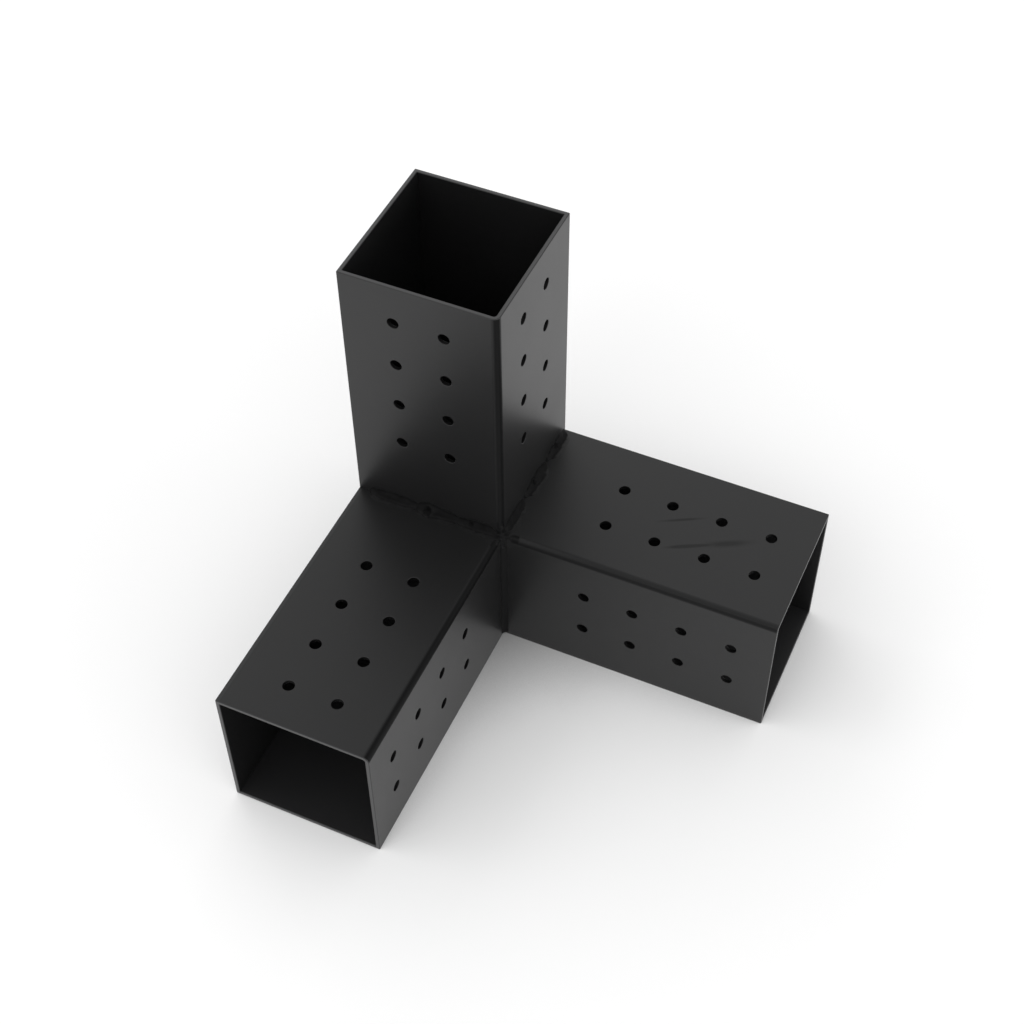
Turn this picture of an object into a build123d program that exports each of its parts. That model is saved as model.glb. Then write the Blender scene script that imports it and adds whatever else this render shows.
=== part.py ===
"""Three way corner connector: three square sockets for timber posts, meeting at one corner block.

Six blanks of one sheet steel are welded together. Three flat L plates close the outside of the
corner, and three bent angles with the screw holes close the inside. The plates meet edge to edge
along the sockets' long outer edges, and a seam weld fills the notch there and is ground flush.
Stitch welds tie the upright socket's foot to the two flat ones.

Origin: on the ground, under the centre of the upright socket. +Z is up the post socket, +X along
the right beam socket and -Y along the left beam socket. All three sockets are alike: each is drawn
in a frame of its own, whose z runs out along the socket from the outer corner of the block, with x
and -y running along the next two sockets.
"""

import os

from build123d import *

os.makedirs("parts", exist_ok=True)

# --- Driving dimensions, in millimetres ---------------------------------------------------------
post_width = 89.0  # dressed timber post, across its flats
post_clearance = 1.0  # slack of the post in its socket, both sides together
sheet = 2.5  # thickness of all six blanks
bend_inside = 1.7  # inside radius of the pressed bends
socket_depth = 172.0  # length of each socket beyond the corner block

screw_hole = 7.0  # bore of every screw hole
hole_columns = 2  # holes across a wall
hole_rows = 4  # holes along a wall
column_spacing = 30.5
row_spacing = 31.2
end_distance = 25.4  # last row of holes to the socket's open end

seam_round = 0.6  # edge left on the seam welds by the grinder
inner_leg = 3.2  # leg of the fillet weld between the two beam sockets
inner_hollow = 6.0  # radius of its hollow face
inner_rise = 2.0  # height above the ground at which that weld starts
corner_blob = 4.8  # radius of the weld metal that closes the point where the bends meet
blob_sides = 8  # flats round its outline
puddle_pitch = 7.2  # step from one weld puddle to the next in a stitch
puddle_crest = 5.0  # start of a puddle to its crest
ripple = 0.7  # drop from the crest of one puddle to the foot of the next
tail = 1.6  # drop from the last crest to the end of a stitch
left_first = 8.0  # outer plate's face to the nearest stitch on the left side
right_first = 3.0  # the same on the right side

# Crest radii of the puddles in each stitch, from the outer plate inwards.
left_stitches = {"outer": (3.6, 4.4, 4.4, 4.0), "middle": (5.4, 6.4, 5.0), "inner": (4.6, 5.2, 4.2)}
right_stitches = {"outer": (3.6, 4.2, 3.8), "middle": (4.8, 6.2, 5.2), "inner": (4.4, 4.8, 4.0)}

# --- Sizes that follow --------------------------------------------------------------------------
clear = post_width + post_clearance  # free square inside a socket
section = clear + 2 * sheet  # outside of a socket
wall = section - sheet  # outer plate's face to the inside of the bent walls
length = section + socket_depth  # outer corner to open end
bend_outside = bend_inside + sheet
hole_centre = length - end_distance - (hole_rows - 1) * row_spacing / 2

# Frames of the three sockets. They share the outer corner of the block.
outer_corner = Vector(-section / 2, section / 2, 0)
post = Plane(outer_corner, x_dir=(1, 0, 0), z_dir=(0, 0, 1))
right_beam = Plane(outer_corner, x_dir=(0, -1, 0), z_dir=(1, 0, 0))
left_beam = Plane(outer_corner, x_dir=(0, 0, 1), z_dir=(0, -1, 0))
sockets = {"post": post, "right_beam": right_beam, "left_beam": left_beam}


# --- Sheet steel --------------------------------------------------------------------------------
def corner_plate(frame):
    """Flat L plate across the foot of the frame's socket, which walls the other two sockets."""
    with BuildPart() as plate:
        with BuildSketch(frame):
            with BuildLine():
                Polyline(
                    (sheet, -sheet),
                    (length, -sheet),
                    (length, -wall),
                    (wall, -wall),
                    (wall, -length),
                    (sheet, -length),
                    close=True,
                )
            make_face()
        extrude(amount=sheet)
    return plate.part


def bent_angle(frame):
    """Pressed angle that makes the two inward walls of a socket, with its grids of screw holes.

    The wall at -y is longer by one thickness: its tongue closes on the end of the next
    socket's wall. The tongue stops short of the bend.
    """
    with BuildPart() as angle:
        with BuildSketch(frame.offset(section)) as fold:
            with BuildLine():
                Polyline(
                    (sheet, -section),
                    (section, -section),
                    (section, -sheet),
                    (wall, -sheet),
                    (wall, -wall),
                    (sheet, -wall),
                    close=True,
                )
            make_face()
            fillet(fold.vertices().sort_by_distance((section, -section))[0], bend_outside)
            fillet(fold.vertices().sort_by_distance((wall, -wall))[0], bend_inside)
        extrude(amount=socket_depth)

        with BuildSketch(frame.offset(wall)):
            with Locations((sheet, -section)):
                Rectangle(section - bend_outside - sheet, sheet, align=Align.MIN)
        extrude(amount=sheet)

        middle = section / 2
        long_wall = Plane(
            frame.from_local_coords(Vector(middle, -section, hole_centre)),
            x_dir=frame.x_dir,
            z_dir=-frame.y_dir,
        )
        short_wall = Plane(
            frame.from_local_coords(Vector(section, -middle, hole_centre)),
            x_dir=frame.y_dir,
            z_dir=frame.x_dir,
        )
        with BuildSketch(long_wall, short_wall):
            with GridLocations(column_spacing, row_spacing, hole_columns, hole_rows):
                Circle(screw_hole / 2)
        extrude(amount=-sheet, mode=Mode.SUBTRACT)
    return angle.part


# --- Welds --------------------------------------------------------------------------------------
def seam_weld(frame, corner, start):
    """Square bar of weld in the notch at one long edge of a socket, ground round outside.

    corner is the socket's own corner in its frame, and start the height at which the weld begins.
    """
    with BuildPart() as weld:
        with BuildSketch(frame.offset(start)) as notch:
            with Locations(corner):
                align_x = Align.MIN if corner[0] == 0 else Align.MAX
                align_y = Align.MAX if corner[1] == 0 else Align.MIN
                Rectangle(sheet, sheet, align=(align_x, align_y))
            fillet(notch.vertices().sort_by_distance(corner)[0], seam_round)
        extrude(amount=length - start)
    return weld.part


def stitch_weld(line, start, crests):
    """Convex fillet weld, in the corner between two square walls.

    Each puddle laps over the one before: a long slope up to its crest and a short step down.
    line's x runs along the corner, and its y and z lie on the two walls.
    """
    outline = [(start, 0)]
    for step, crest in enumerate(crests):
        foot = start + step * puddle_pitch
        outline += [(foot, crest - ripple), (foot + puddle_crest, crest)]
    end = start + len(crests) * puddle_pitch
    outline += [(end, crests[-1] - tail), (end, 0)]
    with BuildPart() as bead:
        with BuildSketch(line):
            with BuildLine():
                Polyline(*outline, close=True)
            make_face()
        revolve(axis=Axis(line.origin, line.x_dir), revolution_arc=90)
    return bead.part


def stitch_starts(stitches, first):
    """Where each of three stitches starts: by the outer plate, halfway, and up to the bend."""
    outer, middle, inner = [len(crests) * puddle_pitch for crests in stitches.values()]
    last = section - bend_outside - inner
    return first, (first + outer + last - middle) / 2, last


pieces = {}

# --- Six blanks ---------------------------------------------------------------------------------
pieces["bottom_plate"] = corner_plate(post)
pieces["side_plate"] = corner_plate(right_beam)
pieces["back_plate"] = corner_plate(left_beam)
for name, frame in sockets.items():
    pieces[f"{name}_angle"] = bent_angle(frame)

# --- Nine seams along the long edges of the sockets ---------------------------------------------
# The post's outer seam runs to the ground and takes in the block's corner.
for name, frame in sockets.items():
    foot = 0 if name == "post" else sheet
    pieces[f"{name}_outer_seam"] = seam_weld(frame, (0, 0), foot)
    pieces[f"{name}_tongue_seam"] = seam_weld(frame, (0, -section), wall)
    pieces[f"{name}_edge_seam"] = seam_weld(frame, (section, 0), section)

# --- Stitches round the foot of the post socket -------------------------------------------------
foot_height = outer_corner.Z + section
left_line = Plane(
    (outer_corner.X, outer_corner.Y - section, foot_height), x_dir=(1, 0, 0), z_dir=(0, -1, 0)
)
right_line = Plane(
    (outer_corner.X + section, outer_corner.Y, foot_height), x_dir=(0, -1, 0), z_dir=(0, 0, 1)
)
for side, line, stitches, first in (
    ("left", left_line, left_stitches, left_first),
    ("right", right_line, right_stitches, right_first),
):
    starts = stitch_starts(stitches, first)
    for start, (place, crests) in zip(starts, stitches.items()):
        pieces[f"{side}_stitch_{place}"] = stitch_weld(line, start, crests)

# --- Hollow fillet between the two beam sockets -------------------------------------------------
with BuildPart() as inner_weld:
    with BuildSketch(post.offset(inner_rise)):
        with BuildLine():
            Line((section, -section), (section + inner_leg, -section))
            RadiusArc(
                (section + inner_leg, -section), (section, -section - inner_leg), -inner_hollow
            )
            Line((section, -section - inner_leg), (section, -section))
        make_face()
    extrude(amount=section - bend_outside - inner_rise)
pieces["inner_corner_weld"] = inner_weld.part

# --- Weld metal where the three bends meet ------------------------------------------------------
# A blob turned about the upright line through that point, less the steel and the sockets.
bend_corner = post.from_local_coords(Vector(section, -section, section))
with BuildPart() as corner_weld:
    with BuildSketch(Plane(bend_corner, x_dir=(1, 0, 0), z_dir=(0, -1, 0))):
        RegularPolygon(corner_blob, blob_sides)
        Rectangle(corner_blob, 2 * corner_blob, align=(Align.MIN, Align.CENTER), mode=Mode.INTERSECT)
    revolve(axis=Axis(bend_corner, (0, 0, 1)))
    for name, frame in sockets.items():
        add(pieces[f"{name}_angle"], mode=Mode.SUBTRACT)
        with BuildSketch(frame.offset(sheet)):
            with Locations((sheet, -sheet)):
                Rectangle(clear, clear, align=(Align.MIN, Align.MAX))
        extrude(amount=length - sheet, mode=Mode.SUBTRACT)
    for neighbour in ("left_stitch_inner", "right_stitch_inner", "inner_corner_weld"):
        add(pieces[neighbour], mode=Mode.SUBTRACT)
pieces["bend_corner_weld"] = corner_weld.part

for name, piece in pieces.items():
    piece.label = name
    export_step(piece, f"parts/{name}.step")
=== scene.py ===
"""Three way corner connector: eased steel edges, weld beads, black powder coat and a plain studio.

The post socket stands over the origin, the right beam socket points to +X and the left one to -Y.
Lengths are in metres, but in the tables of welds and marks they are in millimetres.
"""

import math
from contextlib import contextmanager

import bpy
from bpy.props import FloatProperty, FloatVectorProperty, IntProperty, PointerProperty
from mathutils import Matrix, Vector, noise
from mathutils.bvhtree import BVHTree


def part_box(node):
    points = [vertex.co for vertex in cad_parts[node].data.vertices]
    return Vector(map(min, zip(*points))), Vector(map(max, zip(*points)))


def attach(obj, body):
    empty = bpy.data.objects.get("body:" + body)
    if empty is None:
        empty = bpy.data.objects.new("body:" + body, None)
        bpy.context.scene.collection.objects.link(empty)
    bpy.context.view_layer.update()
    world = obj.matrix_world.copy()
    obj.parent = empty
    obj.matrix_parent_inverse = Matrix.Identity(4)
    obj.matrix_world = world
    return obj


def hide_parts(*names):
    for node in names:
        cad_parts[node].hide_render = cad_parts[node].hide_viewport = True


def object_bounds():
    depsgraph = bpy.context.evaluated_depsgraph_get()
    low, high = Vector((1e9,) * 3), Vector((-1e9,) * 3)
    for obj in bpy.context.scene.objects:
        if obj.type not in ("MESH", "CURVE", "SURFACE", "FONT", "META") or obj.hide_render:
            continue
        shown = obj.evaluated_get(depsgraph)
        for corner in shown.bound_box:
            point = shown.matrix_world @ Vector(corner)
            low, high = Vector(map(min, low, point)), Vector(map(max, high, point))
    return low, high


bl_info = {
    "name": "Corner Connector",
    "version": (1, 0, 0),
    "blender": (4, 5, 0),
    "location": "3D View > Sidebar > Connector",
    "description": "Finishes a welded three way corner connector in black powder coat",
    "category": "Object",
}

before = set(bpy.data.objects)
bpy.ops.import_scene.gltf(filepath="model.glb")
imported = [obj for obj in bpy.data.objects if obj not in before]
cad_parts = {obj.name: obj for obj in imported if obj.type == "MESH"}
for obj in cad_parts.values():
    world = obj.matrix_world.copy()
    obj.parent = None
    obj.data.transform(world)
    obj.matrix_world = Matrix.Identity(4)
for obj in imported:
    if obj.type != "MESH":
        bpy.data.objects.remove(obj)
CAD_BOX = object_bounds()

MM = 0.001
RIGHT, FRONT, UP = Vector((1, 0, 0)), Vector((0, -1, 0)), Vector((0, 0, 1))
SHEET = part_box("bottom_plate")[1].z  # thickness of the steel
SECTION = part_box("left_beam_angle")[1].z  # outside of a socket, also the height of the beams' tops
REACH = CAD_BOX[1].z  # outer corner to a socket's open end
POST_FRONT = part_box("post_angle")[0].y  # the post's wall over the left beam
POST_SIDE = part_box("post_angle")[1].x  # the post's wall over the right beam

PLATES = ("bottom_plate", "side_plate", "back_plate")
ANGLES = ("post_angle", "right_beam_angle", "left_beam_angle")
OUTWARD = {"post": UP, "right_beam": RIGHT, "left_beam": FRONT}  # the way each socket points
SEAMS = tuple(f"{socket}_{edge}_seam" for socket in OUTWARD for edge in ("outer", "tongue", "edge"))

# Limits that tell the parts of a mesh apart.
SAME_POINT = 0.001 * MM  # corners nearer than this to each other are one
SAME_PLANE = 0.01 * MM  # a point nearer than this to a plane lies in it
ONE_FLAT = math.radians(0.3)  # faces that turn by less than this are one flat
SHARP = math.radians(50)  # an edge that turns by more than this is sharp
FREE = 0.05 * MM  # an edge farther than this from all other pieces is free
FACING = 0.9  # share of a normal that makes its face look one way
BORE_FACET = (0.6 * SHEET, 1.1 * SHEET)  # longest side of a facet in a bore
BEND_STARTS = math.radians(2)  # least tilt of a bend's facets
LEAST_BEND = 20 * MM  # least length of a bend's facets
END_ZONE = 0.6 * MM  # the roundings at an open end lie within this
STEEL_CREASE = math.radians(40)  # shading is smooth up to this turn on steel
BEAD_CREASE = math.radians(60)  # and up to this one on weld metal

# Puddles of each stitch weld, in millimetres: place along the stitch, reach over the beam and up
# the post.
STITCHES = {
    "left_stitch_outer": (
        (3.0, 2.0, 3.6), (7.5, 2.6, 5.0), (12.0, 3.0, 6.0), (16.5, 3.0, 6.2), (21.0, 2.8, 5.8),
        (25.0, 2.6, 4.8),
    ),
    "left_stitch_middle": (
        (2.2, 4.2, 5.6), (5.4, 5.4, 7.6), (9.6, 4.0, 7.2), (14.0, 3.2, 6.4), (18.4, 2.8, 5.4),
    ),
    "left_stitch_inner": (
        (2.6, 2.6, 4.6), (6.6, 3.4, 5.4), (10.8, 3.2, 6.0), (15.0, 3.0, 6.0), (18.8, 2.8, 5.0),
    ),
    "right_stitch_outer": (
        (2.6, 2.8, 5.0), (6.8, 3.2, 6.2), (11.2, 2.8, 6.0), (15.4, 3.2, 7.0), (19.0, 2.6, 5.4),
    ),
    "right_stitch_middle": (
        (2.8, 2.6, 4.8), (6.6, 4.0, 6.6), (11.0, 3.4, 6.6), (15.2, 3.2, 6.8), (18.8, 2.8, 5.2),
    ),
    "right_stitch_inner": (
        (2.8, 2.6, 4.6), (6.8, 2.8, 5.4), (11.0, 3.2, 6.2), (15.2, 2.8, 5.4), (18.8, 2.6, 4.4),
    ),
}

# Pits that the arc left in the stitches, in millimetres: place along the stitch, out over the beam
# and up the post, and radius.
PITS = {
    "left_stitch_middle": ((5.2, 3.0, 2.4, 3.4),),
    "left_stitch_inner": ((6.2, 1.6, 2.4, 2.0),),
    "right_stitch_outer": ((15.0, 1.0, 4.4, 3.2),),
    "right_stitch_middle": ((14.4, 1.2, 3.0, 2.4),),
}

NECK = (-1.0, 2.2, 3.4)  # thin puddle past the end of a stitch, towards the next one
BALL_RISE = 0.35  # height of a puddle's middle, where 1 is the line between its toes
BALL_WIDTH = 0.94  # half the width of its ball, as a share of the bead's from toe to toe
STRIP_DEPTH = 3 * MM  # how deep a weld's skin is drawn round the steel
SINK_FROM = 0.47  # share of a weld's reach at which its skin sinks into the steel
RAG_MEAN, RAG_SWING = 0.75, 0.5  # reach of a pit's painted shade, as a share of its radius
HEAD_LENGTH = 1.6  # length of the metal at the fillet's head, in corner blocks
CORNER_MELT = 0.6  # share of the corner's reach within which its creases melt
CORNER_SHADE = 1.4  # painted shade at the corner, which falls by 1 over a corner block

# Brightness of the coat's colour by its place, as a share of that on the flats: painted light on
# the bottom plate inside the sockets, and painted shade on the bends, welds, pits and bores.
SHADES = {"inside": 2, "dull": 0.55, "welds": 0.6, "pits": 0.4, "bores": 0.3}
GRADES = 5  # steps from the coat on a flat to the darkest coat of painted shade on bends and welds
SKIN_TILT = math.radians(18)  # tilt at which a melted skin gets the full painted shade
WELD_ROUGHNESS = 0.5
PIT_GLOSS = 0.6  # reflectance in a pit, as a share of that on a weld
BORE_ROUGHNESS, BORE_GLOSS = 0.7, 0.1
STREAK_COLOUR = (0, 0, 0, 1)  # colour that the streaks turn to
STREAK_PEAK = 2  # strength of a mark at its middle, so that it fades in its outer half
STREAK_ROUGHNESS = 0.3  # how much rougher a mark is than the coat round it

SHADE_FROM = 0.62  # openness at which the painted shade on the floor starts, for the camera
DEEPEST_SHADE = 0.13  # brightness of the floor under the deepest painted shade, where nothing is open

# Painted shade on the bends, a darker and duller coat: the wall it fades in from, how fast it
# fades in and out, and how strong it is between.
BENDS = {
    "post_angle": (FRONT, 1.7, 2.0, 0.92),
    "right_beam_angle": (UP, 1.1, 3, 0.84),
    "left_beam_angle": (UP, 1.8, 5, 1),
}

# Outsides of the walls with a little painted shade, darker and duller, by the way that they face.
SHADED_WALLS = {"right_beam_angle": FRONT, "left_beam_angle": UP}

# Dark streaks in the coat on top of the right beam: middle, turn in degrees, half the length and
# half the width in millimetres, and strength.
STREAKS = (
    (140.6, 7.4, 29, 18, 1.5, 0.8),
    (150.0, -11.0, 28, 16, 2.0, 1.0),
    (172.0, 1.0, 28, 21, 3.8, 0.7),
)

# Softboxes of the studio, in degrees: azimuth and elevation of the middle, width, height, and
# brightness, where 1 is a white wall.
SOFTBOXES = (
    ("softbox_right", -6, 7.5, 60, 15, 3.0),
    ("softbox_back", 114, 25, 60, 20, 0.9),
    ("softbox_left", 174, 47, 60, 25, 0.85),
    ("softbox_side", 234, 47, 60, 25, 1.0),
    ("softbox_front", 294, 47, 60, 25, 1.0),
)


class CoatSettings(bpy.types.PropertyGroup):
    """The powder coat over steel and welds."""

    colour: FloatVectorProperty(
        name="Coat", description="Colour of the powder coat", subtype="COLOR", size=3,
        min=0, max=1, default=(0.0072, 0.0072, 0.0075),
    )
    # The cut edges' colour is lighter: partly a thinner coat, partly a painted highlight.
    edge_colour_and_highlight: FloatVectorProperty(
        name="Cut edge", description="Thinner coat over the cut ends of the sheet", subtype="COLOR",
        size=3, min=0, max=1, default=(0.034, 0.034, 0.035),
    )
    roughness: FloatProperty(
        name="Roughness", description="Gloss of the coat, from mirror to chalk", min=0, max=1,
        default=0.38,
    )
    flat_gloss: FloatProperty(
        name="Flat gloss", description="Reflectance of the coat on the flats; 0.5 is plain paint",
        min=0, max=1, default=0.5,
    )
    # Reflectance of the coat under painted shade, on the bends.
    dull_gloss: FloatProperty(
        name="Dull gloss", description="Reflectance where the coat is dull, on the bends", min=0,
        max=1, default=0.08,
    )
    weld_gloss: FloatProperty(
        name="Weld gloss", description="Reflectance of the coat on the welds", min=0, max=1,
        default=0.07,
    )
    peel_size: FloatProperty(
        name="Peel size", description="Width of the coat's fine orange peel", subtype="DISTANCE",
        min=0.0001, default=1.6 * MM,
    )
    peel_depth: FloatProperty(
        name="Peel depth", description="Depth of the orange peel", subtype="DISTANCE", min=0,
        default=0.012 * MM,
    )


class SteelSettings(bpy.types.PropertyGroup):
    """How the cut edges of the sheet are eased by the coat."""

    end_ease: FloatProperty(
        name="End edges", description="Rounding of the edges at the open ends",
        subtype="DISTANCE", min=0, default=0.45 * MM,
    )
    hole_ease: FloatProperty(
        name="Hole edges", description="Rounding of the screw holes' rims", subtype="DISTANCE",
        min=0, default=0.25 * MM,
    )
    seam_overlap: FloatProperty(
        name="Seam overlap", description="How far a seam runs into the one it meets at the corner",
        subtype="DISTANCE", min=0, default=0.7 * MM,
    )
    steps: IntProperty(name="Steps", description="Facets across a rounding", min=1, default=3)


class WeldSettings(bpy.types.PropertyGroup):
    """How the weld beads are shaped."""

    grain: FloatProperty(
        name="Grain", description="Size of the cells that a bead is rebuilt from",
        subtype="DISTANCE", min=0.0001, default=0.45 * MM,
    )
    puddle_length: FloatProperty(
        name="Puddle length", description="Half the length of one puddle", subtype="DISTANCE",
        min=0.0001, default=4.6 * MM,
    )
    neck: FloatProperty(
        name="Neck", description="Length of the thin bead that runs on past a stitch",
        subtype="DISTANCE", min=0, default=2.6 * MM,
    )
    fullness: FloatProperty(
        name="Fullness", description="Height of a bead, where 0.65 is flat between its toes", min=0,
        default=0.6,
    )
    softness: IntProperty(
        name="Softness", description="Rounds of smoothing, as the coat fills the ripples", min=0,
        default=50,
    )
    lump_size: FloatProperty(
        name="Lump size", description="Width of the small lumps on a bead", subtype="DISTANCE",
        min=0.0001, default=5 * MM,
    )
    unevenness: FloatProperty(
        name="Unevenness", description="Height of the small lumps on a bead", subtype="DISTANCE",
        min=0, default=1.3 * MM,
    )
    strip: FloatProperty(
        name="Strip", description="Width of wall on each side that is melted with a bead",
        subtype="DISTANCE", min=0.001, default=13 * MM,
    )
    sink: FloatProperty(
        name="Sink", description="How far a skin dips under the steel past its weld",
        subtype="DISTANCE", min=0, default=0.3 * MM,
    )
    pit: FloatProperty(
        name="Pits", description="Depth of a pit, as a share of its radius", min=0, default=0.35
    )
    rag: FloatProperty(
        name="Rag", description="Size of the notches round a pit", subtype="DISTANCE", min=0.0001,
        default=1.5 * MM,
    )
    root: FloatProperty(
        name="Root", description="Depth under the steel's face at which a bead is cut off",
        subtype="DISTANCE", min=0, default=0.1 * MM,
    )
    corner_reach: FloatProperty(
        name="Corner reach", description="Reach of the melted steel where the bends meet",
        subtype="DISTANCE", min=0.001, default=16 * MM,
    )
    corner_softness: IntProperty(
        name="Corner softness", description="Rounds of smoothing where the bends meet", min=0,
        default=70,
    )
    corner_block: FloatProperty(
        name="Corner block", description="Reach of the metal that fills the corner of the bends",
        subtype="DISTANCE", min=0.001, default=5.5 * MM,
    )
    fillet_head: FloatProperty(
        name="Fillet head", description="Leg of the fillet between the beams at its upper end",
        subtype="DISTANCE", min=0.0001, default=2.0 * MM,
    )
    corner_fill: FloatProperty(
        name="Corner fill", description="Metal added where the bends meet, to replace what melted",
        subtype="DISTANCE", min=0, default=0.9 * MM,
    )


class StageSettings(bpy.types.PropertyGroup):
    """Floor, light and camera."""

    floor_size: FloatProperty(
        name="Floor", description="Width of the floor", subtype="DISTANCE", default=9.0
    )
    floor_grey: FloatProperty(
        name="Floor grey", description="Brightness of the floor as the light sees it", min=0,
        max=1, default=0.86,
    )
    walls: FloatProperty(
        name="Walls", description="Brightness of the room, where 1 is white", min=0, default=0.72
    )
    lamp_distance: FloatProperty(
        name="Lamp distance", description="From the connector to each softbox",
        subtype="DISTANCE", min=1, default=6.0,
    )
    # The floor's contact shade is painted, out to this reach.
    contact: FloatProperty(
        name="Contact shadow", description="Reach of the deep shade where steel meets the floor",
        subtype="DISTANCE", min=0, default=0.09,
    )
    azimuth: FloatProperty(
        name="Azimuth", description="Camera's turn round the object", subtype="ANGLE",
        default=math.radians(24.01),
    )
    elevation: FloatProperty(
        name="Elevation", description="Camera's height angle", subtype="ANGLE",
        default=math.radians(50.37),
    )
    camera_place: FloatVectorProperty(
        name="Camera", description="Place of the camera", subtype="TRANSLATION", size=3,
        default=(0.3355, -0.6533, 0.8922),
    )
    lens: FloatProperty(name="Lens", description="Focal length in millimetres", default=61.8)
    shift_x: FloatProperty(name="Shift X", description="Framing, sideways", default=-0.0176)
    shift_y: FloatProperty(name="Shift Y", description="Framing, upwards", default=0.0361)


# --- Working on one object ------------------------------------------------------------------------
def only(piece):
    """Makes piece the one selected and active object."""
    bpy.ops.object.select_all(action="DESELECT")
    piece.select_set(True)
    bpy.context.view_layer.objects.active = piece


@contextmanager
def edit_mode(piece):
    """Opens one piece for editing, and closes it with nothing selected."""
    only(piece)
    bpy.ops.object.mode_set(mode="EDIT")
    yield
    bpy.ops.mesh.select_all(action="DESELECT")
    bpy.ops.object.mode_set(mode="OBJECT")


def apply_modifier(piece, kind, **values):
    """Adds a modifier with these values and applies it."""
    modifier = piece.modifiers.new(kind.title(), kind)
    for key, value in values.items():
        setattr(modifier, key, value)
    only(piece)
    bpy.ops.object.modifier_apply(modifier=modifier.name)


def merged_copy(node):
    """A new piece with the CAD node's mesh, its triangles merged into one skin with whole flats."""
    piece = bpy.data.objects.new(f"{node}_coated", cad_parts[node].data.copy())
    piece.data.name = piece.name
    bpy.context.scene.collection.objects.link(piece)
    piece.data.materials.clear()
    only(piece)
    bpy.ops.mesh.customdata_custom_splitnormals_clear()
    with edit_mode(piece):
        bpy.ops.mesh.select_all(action="SELECT")
        bpy.ops.mesh.remove_doubles(threshold=SAME_POINT)
        bpy.ops.mesh.dissolve_limited(angle_limit=ONE_FLAT)
    return piece


def neighbours_of(node):
    """The skins of all other CAD nodes, for asking how near they are."""
    points, faces = [], []
    for name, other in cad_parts.items():
        if name != node:
            first = len(points)
            points += [v.co for v in other.data.vertices]
            faces += [[first + i for i in f.vertices] for f in other.data.polygons]
    return BVHTree.FromPolygons(points, faces)


def at_open_end(point, within=SAME_PLANE):
    """True where a point lies within this distance of the plane of a socket's open end."""
    return max(point.x - CAD_BOX[0].x, CAD_BOX[1].y - point.y, point.z) > REACH - within


def ease_edges(piece, node, width, steps, wanted):
    """Rounds the sharp edges that no other piece meets and that wanted picks by their middle."""
    around = neighbours_of(node)
    mesh = piece.data
    faces_at = {}
    for face in mesh.polygons:
        for key in face.edge_keys:
            faces_at.setdefault(key, []).append(face.normal)
    for edge in mesh.edges:
        a, b = (mesh.vertices[i].co for i in edge.vertices)
        middle = (a + b) / 2
        normals = faces_at[edge.key]
        sharp = len(normals) == 2 and normals[0].angle(normals[1]) > SHARP
        edge.select = sharp and wanted(middle) and around.find_nearest(middle)[3] > FREE
    with edit_mode(piece):
        bpy.ops.mesh.select_mode(type="EDGE")
        bpy.ops.mesh.bevel(offset=width, segments=steps, affect="EDGES", clamp_overlap=False)


def smooth_flats(piece):
    """Smooth shading that keeps large flats flat."""
    only(piece)
    bpy.ops.object.shade_smooth_by_angle(angle=STEEL_CREASE)
    apply_modifier(piece, "WEIGHTED_NORMAL", keep_sharp=True, weight=100)


def finish_piece(piece, slot, *nodes):
    """Sets the piece in place of its CAD nodes."""
    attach(piece, "root")
    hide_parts(*nodes)


# --- Materials ------------------------------------------------------------------------------------
def feed(tree, socket, source):
    """Links another node's output to a socket, or sets the socket to a value."""
    if isinstance(source, bpy.types.NodeSocket):
        tree.links.new(source, socket)
    else:
        socket.default_value = source


def multiply_add(tree, value, factor, addend, clamp=False):
    """Output of a Math node: value times factor, plus addend."""
    node = tree.nodes.new("ShaderNodeMath")
    node.operation = "MULTIPLY_ADD"
    node.use_clamp = clamp
    for socket, source in zip(node.inputs, (value, factor, addend)):
        feed(tree, socket, source)
    return node.outputs[0]


def mix(tree, kind, factor, a, b):
    """Output of a Mix node that goes from a to b."""
    node = tree.nodes.new("ShaderNodeMix")
    node.data_type = kind
    for name, source in (("Factor", factor), ("A", a), ("B", b)):
        feed(tree, node.inputs[name], source)
    return node.outputs["Result"]


def cloudy(tree, scale, detail, roughness=0.5):
    """Output of a Noise Texture node on the piece's own coordinates."""
    place = tree.nodes.new("ShaderNodeTexCoord")
    node = tree.nodes.new("ShaderNodeTexNoise")
    feed(tree, node.inputs["Vector"], place.outputs["Object"])
    for name, source in (("Scale", scale), ("Detail", detail), ("Roughness", roughness)):
        feed(tree, node.inputs[name], source)
    return node.outputs["Fac"]


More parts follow.
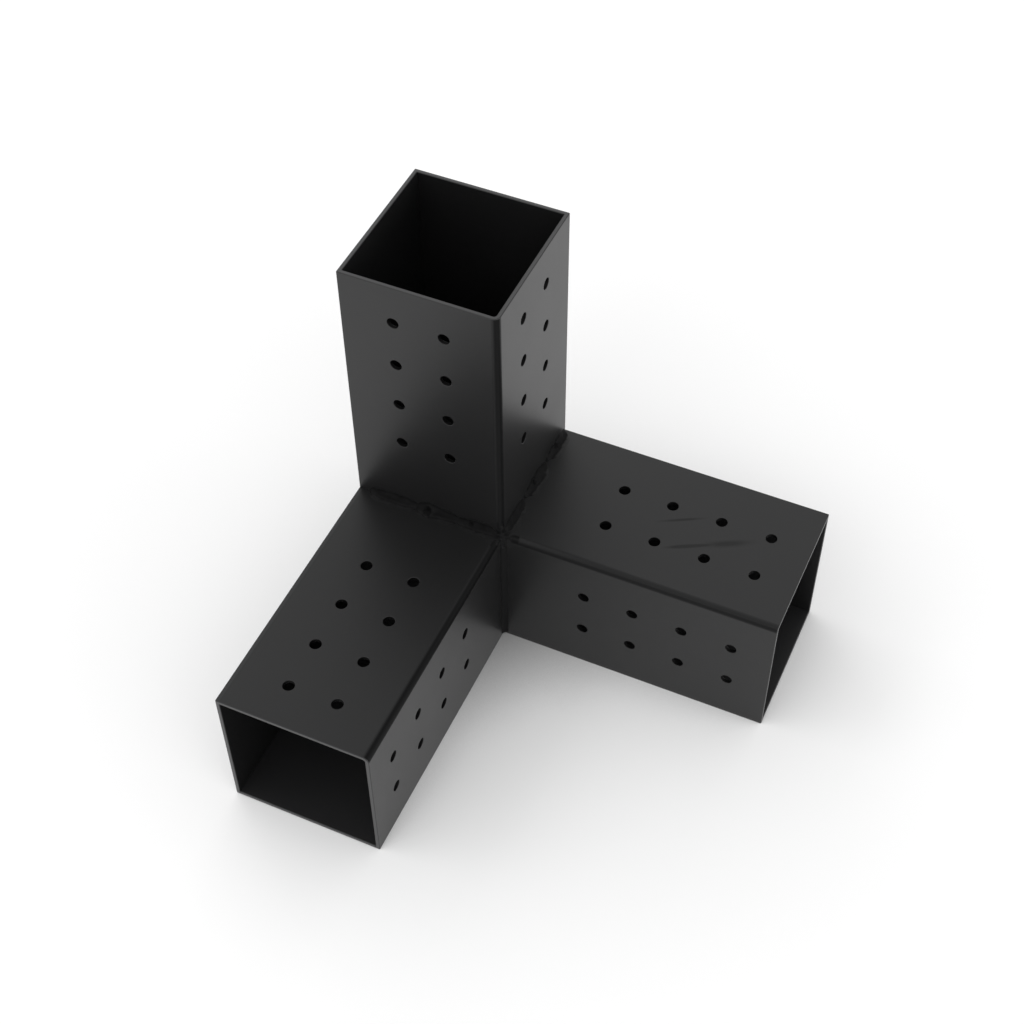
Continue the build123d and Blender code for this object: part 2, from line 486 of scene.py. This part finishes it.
def powder_group():
    """Orange peel, fine grain and cloudy gloss of a sprayed and baked powder coat."""
    group = bpy.data.node_groups.get("powder_surface")
    if group:
        return group
    group = bpy.data.node_groups.new("powder_surface", "ShaderNodeTree")
    for name, kind, value in (
        ("Colour", "NodeSocketColor", (0.02, 0.02, 0.02, 1)),
        ("Roughness", "NodeSocketFloat", 0.4),
        ("Peel Scale", "NodeSocketFloat", 600.0),
        ("Cloud", "NodeSocketFloat", 0.05),
        ("Cloud Scale", "NodeSocketFloat", 22.0),
        ("Mottle", "NodeSocketFloat", 0.25),
    ):
        socket = group.interface.new_socket(name, in_out="INPUT", socket_type=kind)
        socket.default_value = value
    for name, kind in (
        ("Colour", "NodeSocketColor"),
        ("Roughness", "NodeSocketFloat"),
        ("Height", "NodeSocketFloat"),
    ):
        group.interface.new_socket(name, in_out="OUTPUT", socket_type=kind)
    given = group.nodes.new("NodeGroupInput").outputs
    result = group.nodes.new("NodeGroupOutput").inputs

    peel = cloudy(group, given["Peel Scale"], detail=1.5, roughness=0.4)
    grain = cloudy(group, scale=4200, detail=1)
    grain_share = 0.18
    feed(group, result["Height"], multiply_add(group, grain, grain_share, peel))

    cloud = cloudy(group, given["Cloud Scale"], detail=3)
    drift = multiply_add(group, cloud, 1, -0.5)  # swings round zero
    feed(group, result["Roughness"], multiply_add(group, drift, given["Cloud"], given["Roughness"]))
    tone = group.nodes.new("ShaderNodeVectorMath")
    tone.operation = "SCALE"
    feed(group, tone.inputs["Vector"], given["Colour"])
    feed(group, tone.inputs["Scale"], multiply_add(group, drift, given["Mottle"], 1))
    feed(group, result["Colour"], tone.outputs["Vector"])
    return group


def coat_material(name, colour, roughness, gloss, depth=1.0, **clouds):
    """Powder coat of one colour. depth multiplies its orange peel, and clouds set the group."""
    material = bpy.data.materials.get(name)
    if material:
        return material
    settings = bpy.context.scene.coat_settings
    material = bpy.data.materials.new(name)
    material.use_nodes = True
    tree = material.node_tree
    shader = tree.nodes["Principled BSDF"]
    shader.inputs["Specular IOR Level"].default_value = gloss
    surface = tree.nodes.new("ShaderNodeGroup")
    surface.name = "surface"
    surface.node_tree = powder_group()
    surface.inputs["Colour"].default_value = (*colour, 1)
    surface.inputs["Roughness"].default_value = roughness
    surface.inputs["Peel Scale"].default_value = 1 / settings.peel_size
    for socket, value in clouds.items():
        surface.inputs[socket.replace("_", " ")].default_value = value
    bump = tree.nodes.new("ShaderNodeBump")
    bump.inputs["Distance"].default_value = settings.peel_depth * depth
    feed(tree, bump.inputs["Height"], surface.outputs["Height"])
    feed(tree, shader.inputs["Base Color"], surface.outputs["Colour"])
    feed(tree, shader.inputs["Roughness"], surface.outputs["Roughness"])
    feed(tree, shader.inputs["Normal"], bump.outputs["Normal"])
    return material


def dark_streaks(material):
    """Gives a coat its soft dark marks, long ellipses centred and turned by Mapping nodes."""
    tree = material.node_tree
    surface = tree.nodes["surface"].inputs
    if surface["Colour"].is_linked:
        return material
    place = tree.nodes.new("ShaderNodeTexCoord")
    marks = 0
    for x, y, turn, half_length, half_width, strength in STREAKS:
        ellipse = tree.nodes.new("ShaderNodeMapping")
        ellipse.vector_type = "TEXTURE"
        ellipse.inputs["Location"].default_value = (x * MM, y * MM, SECTION)
        ellipse.inputs["Rotation"].default_value = (0, 0, math.radians(turn))
        ellipse.inputs["Scale"].default_value = (half_length * MM, half_width * MM, 1)
        feed(tree, ellipse.inputs["Vector"], place.outputs["Object"])
        fade = tree.nodes.new("ShaderNodeTexGradient")
        fade.gradient_type = "SPHERICAL"
        feed(tree, fade.inputs["Vector"], ellipse.outputs["Vector"])
        marks = multiply_add(tree, fade.outputs["Fac"], STREAK_PEAK * strength, marks, clamp=True)
    plain, rough = tuple(surface["Colour"].default_value), surface["Roughness"].default_value
    feed(tree, surface["Colour"], mix(tree, "RGBA", marks, plain, STREAK_COLOUR))
    feed(tree, surface["Roughness"], multiply_add(tree, marks, STREAK_ROUGHNESS, rough))
    return material


def coat(place):
    """The coat of one place, such as the flats, the welds or a grade of painted shade."""
    settings = bpy.context.scene.coat_settings
    rough, gloss, weld_gloss = settings.roughness, settings.flat_gloss, settings.weld_gloss
    # Painted light and shade by place: the colour is made lighter or darker, and the grades of
    # painted shade also less reflective.
    colour = Vector(settings.colour) * SHADES.get(place, 1)
    if place.startswith("dull_"):
        share = int(place.removeprefix("dull_")) / GRADES
        colour *= 1 - (1 - SHADES["dull"]) * share
        gloss += (settings.dull_gloss - gloss) * share
        return coat_material(f"coat_{place}", colour, rough, gloss)
    # Bottom plate: the coat painted twice as light, as painted light inside the sockets.
    if place == "inside":
        return coat_material("coat_inside", colour, rough, gloss)
    if place == "rubbed":
        return dark_streaks(coat_material("coat_with_dark_streaks", colour, rough, gloss))
    # Cut edges: lighter, for a thinner coat and a painted highlight.
    if place == "edges":
        return coat_material("coat_and_highlight_on_cut_edges", settings.edge_colour_and_highlight, rough, gloss)
    # Bores: the coat painted darker, as painted shade in the holes, and rough.
    if place == "bores":
        return coat_material("coat_in_bores_painted_shade", colour, BORE_ROUGHNESS, BORE_GLOSS, depth=0)
    # Pits: the coat painted darker still, as painted shade in the dents.
    if place == "pits":
        return coat_material("coat_in_pits_painted_shade", colour, WELD_ROUGHNESS, weld_gloss * PIT_GLOSS)
    # Welds: the coat painted darker, as painted shade, with a coarse random mottle.
    if place == "welds":
        return coat_material(
            "coat_on_welds_painted_shade", colour, WELD_ROUGHNESS, weld_gloss, Cloud_Scale=160, Mottle=2
        )
    return coat_material("black_powder_coat", colour, rough, gloss)


# --- Steel ----------------------------------------------------------------------------------------
def grade(share):
    """Name of the coat with painted shade, darker and duller, to this share."""
    step = round(GRADES * min(1, max(0, share)))
    return f"dull_{step}" if step else "flats"


def bend_painted_shade(node, normal):
    """How much painted shade a bend gets where it has this normal. turned is 1 at its middle, and 2
    at its end.
    """
    start, fade_in, fade_out, most = BENDS[node]
    turned = math.acos(min(1, abs(normal.dot(start)))) / math.radians(45)
    return most * min(1, turned * fade_in, (2 - turned) * fade_out)


def skin_painted_shade(normal):
    """How much painted shade a melted skin gets: none where it is flat like the walls, full where it
    leans.
    """
    return math.acos(min(1, max(abs(n) for n in normal))) / SKIN_TILT


def place_of(mesh, face, node):
    """Where a face lies, from its tilt, its place and its longest side."""
    corners = [mesh.vertices[i].co for i in face.vertices]
    if all(at_open_end(c) for c in corners):
        return "edges"
    longest = max((a - b).length for a, b in zip(corners, corners[1:] + corners[:1]))
    # Bends get painted shade, a darker and duller coat, graded by their tilt.
    if node in BENDS and max(abs(n) for n in face.normal) < math.cos(BEND_STARTS):
        if longest > LEAST_BEND and not all(at_open_end(c, END_ZONE) for c in corners):
            return grade(bend_painted_shade(node, face.normal))
    # Facets in the screw holes' bores get a coat painted darker, as shade.
    if node in BENDS and BORE_FACET[0] < longest < BORE_FACET[1]:
        return "bores"
    if node == "right_beam_angle" and face.normal.dot(UP) > FACING:
        return "rubbed"
    # Walls that face these ways get a little painted shade.
    if face.normal.dot(SHADED_WALLS.get(node, Vector())) > FACING:
        return grade(1 / GRADES)
    # The bottom plate gets painted light.
    return "inside" if node == "bottom_plate" else "flats"


def coat_by(piece, place_at):
    """Coats each face as place_at says for it."""
    places = [place_at(face) for face in piece.data.polygons]
    kinds = sorted(set(places))
    for kind in kinds:
        piece.data.materials.append(coat(kind))
    for face, place in zip(piece.data.polygons, places):
        face.material_index = kinds.index(place)


def run_back(piece, along, length):
    """Lengthens a seam at its inner end, into the seam that it meets there."""
    first = min(vertex.co.dot(along) for vertex in piece.data.vertices)
    for vertex in piece.data.vertices:
        vertex.select = vertex.co.dot(along) < first + SAME_PLANE
    with edit_mode(piece):
        bpy.ops.transform.translate(value=along * -length)


def dress_steel(node, slot):
    """Eases the node's free edges and coats it."""
    steel = bpy.context.scene.steel_settings
    piece = merged_copy(node)
    if node.endswith("edge_seam"):
        run_back(piece, OUTWARD[node.removesuffix("_edge_seam")], steel.seam_overlap)
    ease_edges(piece, node, steel.end_ease, steel.steps, at_open_end)
    if node in ANGLES:
        ease_edges(piece, node, steel.hole_ease, steel.steps, lambda p: not at_open_end(p))
    coat_by(piece, lambda face: place_of(piece.data, face, node))
    smooth_flats(piece)
    finish_piece(piece, slot, node)


class CONNECTOR_OT_plates(bpy.types.Operator):
    """Coats the three flat L plates"""

    bl_idname = "connector.plates"
    bl_label = "Corner plates"

    def execute(self, context):
        for node in PLATES:
            dress_steel(node, "sheet")
        return {"FINISHED"}


class CONNECTOR_OT_angles(bpy.types.Operator):
    """Coats the three bent angles and eases their screw holes"""

    bl_idname = "connector.angles"
    bl_label = "Bent angles"

    def execute(self, context):
        for node in ANGLES:
            dress_steel(node, "sheet")
        return {"FINISHED"}


class CONNECTOR_OT_seams(bpy.types.Operator):
    """Coats the nine ground seam welds"""

    bl_idname = "connector.seams"
    bl_label = "Seam welds"

    def execute(self, context):
        for node in SEAMS:
            dress_steel(node, "weld")
        return {"FINISHED"}


# --- Welds ----------------------------------------------------------------------------------------
def lumps(size):
    """Cloudy texture that makes weld metal uneven."""
    texture = bpy.data.textures.get("weld_lumps")
    if not texture:
        texture = bpy.data.textures.new("weld_lumps", "CLOUDS")
        texture.noise_scale = size
        texture.noise_depth = 1
    return texture


def block(corner, along, out, up):
    """A block of steel from one corner, with sides along three square axes of any length."""
    middle = corner + (along + out + up) / 2
    sides = [max(abs(axis[i]) for axis in (along, out, up)) for i in range(3)]
    bpy.ops.object.select_all(action="DESELECT")
    bpy.ops.mesh.primitive_cube_add(size=1, location=middle, scale=sides)
    return bpy.context.object


def puddle(place, face, along, sides):
    """A ball, flattened and turned to face outwards from the corner."""
    turn = Matrix((along, face, along.cross(face))).transposed().to_euler()
    bpy.ops.object.select_all(action="DESELECT")
    bpy.ops.mesh.primitive_uv_sphere_add(
        segments=32, ring_count=16, radius=1, location=place, rotation=turn, scale=sides
    )
    return bpy.context.object


def melt_together(parts, name):
    """Joins shapes into one piece and rebuilds it as one skin."""
    for part in parts:
        part.select_set(True)
    bpy.ops.object.join()
    piece = bpy.context.object
    bpy.ops.object.transform_apply(location=True, rotation=True, scale=True)
    piece.name = piece.data.name = name
    grain = bpy.context.scene.weld_settings.grain
    apply_modifier(piece, "REMESH", mode="VOXEL", voxel_size=grain)
    return piece


def near_weld(piece, radius, distance):
    """Vertex group that falls from 1 at the weld to 0 at a radius from it."""
    group = piece.vertex_groups.new(name="near_weld")  # numbered by Blender if there is one
    for vertex in piece.data.vertices:
        group.add([vertex.index], max(0.0, 1 - distance(vertex.co) / radius), "REPLACE")
    return group.name


def soften(piece, rounds, group=""):
    """Melts the skin's creases."""
    apply_modifier(piece, "SMOOTH", factor=0.5, iterations=rounds, vertex_group=group)


def swell(piece, strength, mid_level=0.0, texture=None, group=""):
    """Moves the skin outwards, as far as a texture or a vertex group says."""
    apply_modifier(
        piece, "DISPLACE", texture=texture, texture_coords="LOCAL", direction="NORMAL",
        mid_level=mid_level, strength=strength, vertex_group=group,
    )


def trim(piece, point, keep):
    """Cuts the piece flat at a plane and keeps the side that keep points to."""
    with edit_mode(piece):
        bpy.ops.mesh.select_all(action="SELECT")
        bpy.ops.mesh.bisect(plane_co=point, plane_no=keep, use_fill=True, clear_inner=True)


def coat_bead(piece, place_at):
    """Coats weld metal and shades it smooth."""
    coat_by(piece, place_at)
    only(piece)
    bpy.ops.object.shade_smooth_by_angle(angle=BEAD_CREASE)


def lay_stitch(node, puddles):
    """One stitch weld: flattened balls across the corner, melted into the two walls.

    A strip of both walls lies under the balls, so that the bead runs out smoothly. Away from the
    corner its skin sinks into the steel, where it is cut off.
    """
    weld = bpy.context.scene.weld_settings
    low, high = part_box(node)
    if node.startswith("left"):
        start, along, out = Vector((low.x, POST_FRONT, SECTION)), RIGHT, FRONT
    else:
        start, along, out = Vector((POST_SIDE, high.y, SECTION)), FRONT, RIGHT

    # Towards the next stitch, the bead runs on thinly past the node's end.
    first, last = 0, abs((high - low).dot(along))
    if not node.endswith("outer"):
        first -= weld.neck
        puddles = (NECK, *puddles)
    if not node.endswith("inner"):
        puddles = (*puddles, (last / MM - NECK[0], *NECK[1:]))
        last += weld.neck
    start += along * first
    length = last - first

    deep, wide = STRIP_DEPTH, weld.strip
    parts = [
        block(start, along * length, out * -deep, UP * wide),
        block(start - out * deep, along * length, out * (wide + deep), UP * -deep),
    ]
    for place, reach, rise in puddles:
        face = (out * rise + UP * reach).normalized()
        toe_to_toe = math.hypot(reach, rise)
        height = reach * rise / toe_to_toe  # from the corner to the line between the toes
        middle = start + along * (place * MM - first) + face * height * BALL_RISE * MM
        sides = (weld.puddle_length, height * weld.fullness * MM, toe_to_toe * BALL_WIDTH * MM)
        parts.append(puddle(middle, face, along, sides))
    piece = melt_together(parts, f"{node}_bead")
    soften(piece, weld.softness)

    end = weld.strip * SINK_FROM

    def from_weld(point):
        run = (point - start).dot(along)
        return (point - start - along * min(max(run, end), length - end)).length

    near = near_weld(piece, weld.strip / 2, from_weld)
    swell(piece, weld.unevenness, 0.5, lumps(weld.lump_size), near)
    swell(piece, -weld.sink)
    swell(piece, weld.sink / (1 - SINK_FROM), group=near_weld(piece, weld.strip, from_weld))
    pits = []
    for place, over, rise, radius in PITS.get(node, ()):
        middle = start + (along * place + out * over + UP * rise) * MM - along * first
        pits.append((middle, radius * MM))
        dent = near_weld(piece, radius * MM, lambda point: (point - middle).length)
        swell(piece, -weld.pit * radius * MM, group=dent)
    trim(piece, start - out * weld.root, out)
    trim(piece, start - UP * weld.root, UP)

    def place_at(face):
        # A pit gets painted shade, a darker coat, out to a ragged edge.
        rag = RAG_MEAN + RAG_SWING * noise.noise(face.center / weld.rag)
        if any((face.center - pit).length < radius * rag for pit, radius in pits):
            return "pits"
        # Leaning weld metal gets painted shade, and where it leans most the weld coat, painted
        # darker.
        share = skin_painted_shade(face.normal)
        return "welds" if share > 1 else grade(share)

    coat_bead(piece, place_at)
    finish_piece(piece, "weld", node)


def near_corner(node, corner, reach):
    """The part of a CAD node's steel that lies within reach of the corner, as a new piece."""
    piece = merged_copy(node)
    for way in (RIGHT, -RIGHT, -FRONT, FRONT, UP, -UP):
        trim(piece, corner - way * reach, way)
    return piece


def coat_fillet():
    """Coats the hollow fillet between the beams with the full painted shade of the bends."""
    fillet = merged_copy("inner_corner_weld")
    coat_bead(fillet, lambda face: grade(1))
    finish_piece(fillet, "weld", "inner_corner_weld")


def fill_bend_corner():
    """Fills the point where the three bends meet up flush, and melts the steel round it."""
    weld = bpy.context.scene.weld_settings
    corner = Vector((POST_SIDE, POST_FRONT, SECTION))
    parts = [near_corner(node, corner, weld.corner_reach) for node in ANGLES]
    right, front, up = (way * weld.corner_block for way in (RIGHT, FRONT, UP))
    for sides in (
        (-right, -front, -up),
        (-right, -front, up),
        (right, -front, -up),
        (-right, front, -up),
    ):
        parts.append(block(corner, *sides))
    leg = weld.fillet_head
    head = corner - UP * leg / 2  # the fillet ends just under the tops of the beams
    parts.append(block(head, RIGHT * leg, FRONT * leg, -up * HEAD_LENGTH))
    piece = melt_together(parts, "bend_corner_weld_bead")

    def from_corner(point):
        return (point - corner).length

    near = near_weld(piece, CORNER_MELT * weld.corner_reach, from_corner)
    soften(piece, weld.corner_softness, near)
    swell(piece, -weld.sink)
    swell(piece, weld.corner_fill, group=near_weld(piece, weld.corner_reach, from_corner))

    def place_at(face):
        # Painted shade, darker and duller, strongest at the corner and where the skin leans.
        near = CORNER_SHADE - from_corner(face.center) / weld.corner_block
        return grade(max(skin_painted_shade(face.normal), near))

    coat_bead(piece, place_at)
    finish_piece(piece, "weld", "bend_corner_weld")


class CONNECTOR_OT_stitches(bpy.types.Operator):
    """Lays the six stitch welds round the foot of the post"""

    bl_idname = "connector.stitches"
    bl_label = "Stitch welds"

    def execute(self, context):
        for node, puddles in STITCHES.items():
            lay_stitch(node, puddles)
        return {"FINISHED"}


class CONNECTOR_OT_corner_welds(bpy.types.Operator):
    """Melts the fillet between the beams and the metal where the three bends meet"""

    bl_idname = "connector.corner_welds"
    bl_label = "Corner welds"

    def execute(self, context):
        coat_fillet()
        fill_bend_corner()
        return {"FINISHED"}


# --- Stage ----------------------------------------------------------------------------------------
def floor_material(grey, contact):
    """Pale floor. The camera sees it white where no shadow falls, and a painted contact shade near
    steel.
    """
    material = bpy.data.materials.new("floor")
    material.use_nodes = True
    tree = material.node_tree
    shader = tree.nodes["Principled BSDF"]
    shader.inputs["Roughness"].default_value = 1
    shader.inputs["Specular IOR Level"].default_value = 0
    ray = tree.nodes.new("ShaderNodeLightPath").outputs
    # Painted contact shade: the less open the floor near steel, the darker it is, for the camera
    # only.
    openness = tree.nodes.new("ShaderNodeAmbientOcclusion")
    openness.inputs["Distance"].default_value = contact
    shade = tree.nodes.new("ShaderNodeMapRange")
    shade.inputs["From Max"].default_value = SHADE_FROM
    shade.inputs["To Min"].default_value = DEEPEST_SHADE
    feed(tree, shade.inputs["Value"], openness.outputs["AO"])
    seen = mix(tree, "RGBA", ray["Is Camera Ray"], (grey, grey, grey, 1), shade.outputs["Result"])
    seen = mix(tree, "RGBA", ray["Is Glossy Ray"], seen, (1, 1, 1, 1))
    feed(tree, shader.inputs["Base Color"], seen)
    return material


def studio_world(walls):
    """Even light from the room. The camera sees plain white."""
    world = bpy.data.worlds.new("studio")
    world.use_nodes = True
    tree = world.node_tree
    background = tree.nodes["Background"]
    background.inputs["Color"].default_value = (1, 1, 1, 1)
    ray = tree.nodes.new("ShaderNodeLightPath").outputs
    feed(tree, background.inputs["Strength"], mix(tree, "FLOAT", ray["Is Camera Ray"], walls, 1))
    return world


def softbox(name, azimuth, elevation, width, height, brightness, distance):
    """Soft lamp that looks at the origin. Angles are in degrees."""
    data = bpy.data.lights.new(name, "AREA")
    data.shape = "RECTANGLE"
    data.size = 2 * distance * math.tan(math.radians(width / 2))
    data.size_y = 2 * distance * math.tan(math.radians(height / 2))
    data.energy = brightness * math.pi * data.size * data.size_y
    lamp = bpy.data.objects.new(name, data)
    turn, rise = math.radians(azimuth), math.radians(elevation)
    level = math.cos(rise)
    way = Vector((math.cos(turn) * level, math.sin(turn) * level, math.sin(rise)))
    lamp.location = way * distance
    lamp.rotation_euler = (math.pi / 2 - rise, 0, turn + math.pi / 2)
    bpy.context.scene.collection.objects.link(lamp)


class CONNECTOR_OT_stage(bpy.types.Operator):
    """Sets the floor, the lamps and the camera"""

    bl_idname = "connector.stage"
    bl_label = "Stage"

    def execute(self, context):
        stage = context.scene.stage_settings
        bpy.ops.object.select_all(action="DESELECT")
        bpy.ops.mesh.primitive_plane_add(size=stage.floor_size)
        floor = context.object
        floor.name = "floor"
        floor.data.materials.append(floor_material(stage.floor_grey, stage.contact))

        context.scene.world = studio_world(stage.walls)
        for lamp in SOFTBOXES:
            softbox(*lamp, stage.lamp_distance)

        data = bpy.data.cameras.new("camera")
        data.lens = stage.lens
        data.shift_x = stage.shift_x
        data.shift_y = stage.shift_y
        camera = bpy.data.objects.new("camera", data)
        camera.location = stage.camera_place
        camera.rotation_euler = (math.pi / 2 - stage.elevation, 0, stage.azimuth)
        context.scene.collection.objects.link(camera)
        context.scene.camera = camera
        context.scene.view_settings.view_transform = "Standard"
        return {"FINISHED"}


class CONNECTOR_PT_panel(bpy.types.Panel):
    """Sizes and steps of the connector"""

    bl_idname = "CONNECTOR_PT_panel"
    bl_label = "Corner Connector"
    bl_space_type = "VIEW_3D"
    bl_region_type = "UI"
    bl_category = "Connector"

    def draw(self, context):
        for name in SETTINGS:
            group = getattr(context.scene, name)
            box = self.layout.box()
            for key in type(group).__annotations__:
                box.prop(group, key)
        for operator in OPERATORS:
            self.layout.operator(operator.bl_idname)


SETTINGS = {
    "coat_settings": CoatSettings,
    "steel_settings": SteelSettings,
    "weld_settings": WeldSettings,
    "stage_settings": StageSettings,
}
OPERATORS = (
    CONNECTOR_OT_plates,
    CONNECTOR_OT_angles,
    CONNECTOR_OT_seams,
    CONNECTOR_OT_stitches,
    CONNECTOR_OT_corner_welds,
    CONNECTOR_OT_stage,
)


def register():
    """Registers the settings, the operators and the panel."""
    for name, group in SETTINGS.items():
        bpy.utils.register_class(group)
        setattr(bpy.types.Scene, name, PointerProperty(type=group))
    for cls in (*OPERATORS, CONNECTOR_PT_panel):
        bpy.utils.register_class(cls)


def unregister():
    """Takes them away again."""
    for cls in (CONNECTOR_PT_panel, *reversed(OPERATORS)):
        bpy.utils.unregister_class(cls)
    for name, group in SETTINGS.items():
        delattr(bpy.types.Scene, name)
        bpy.utils.unregister_class(group)


def main():
    """Builds the finished connector and its stage."""
    register()
    bpy.ops.connector.plates()
    bpy.ops.connector.angles()
    bpy.ops.connector.seams()
    bpy.ops.connector.stitches()
    bpy.ops.connector.corner_welds()
    bpy.ops.connector.stage()


if __name__ == "__main__":
    main()
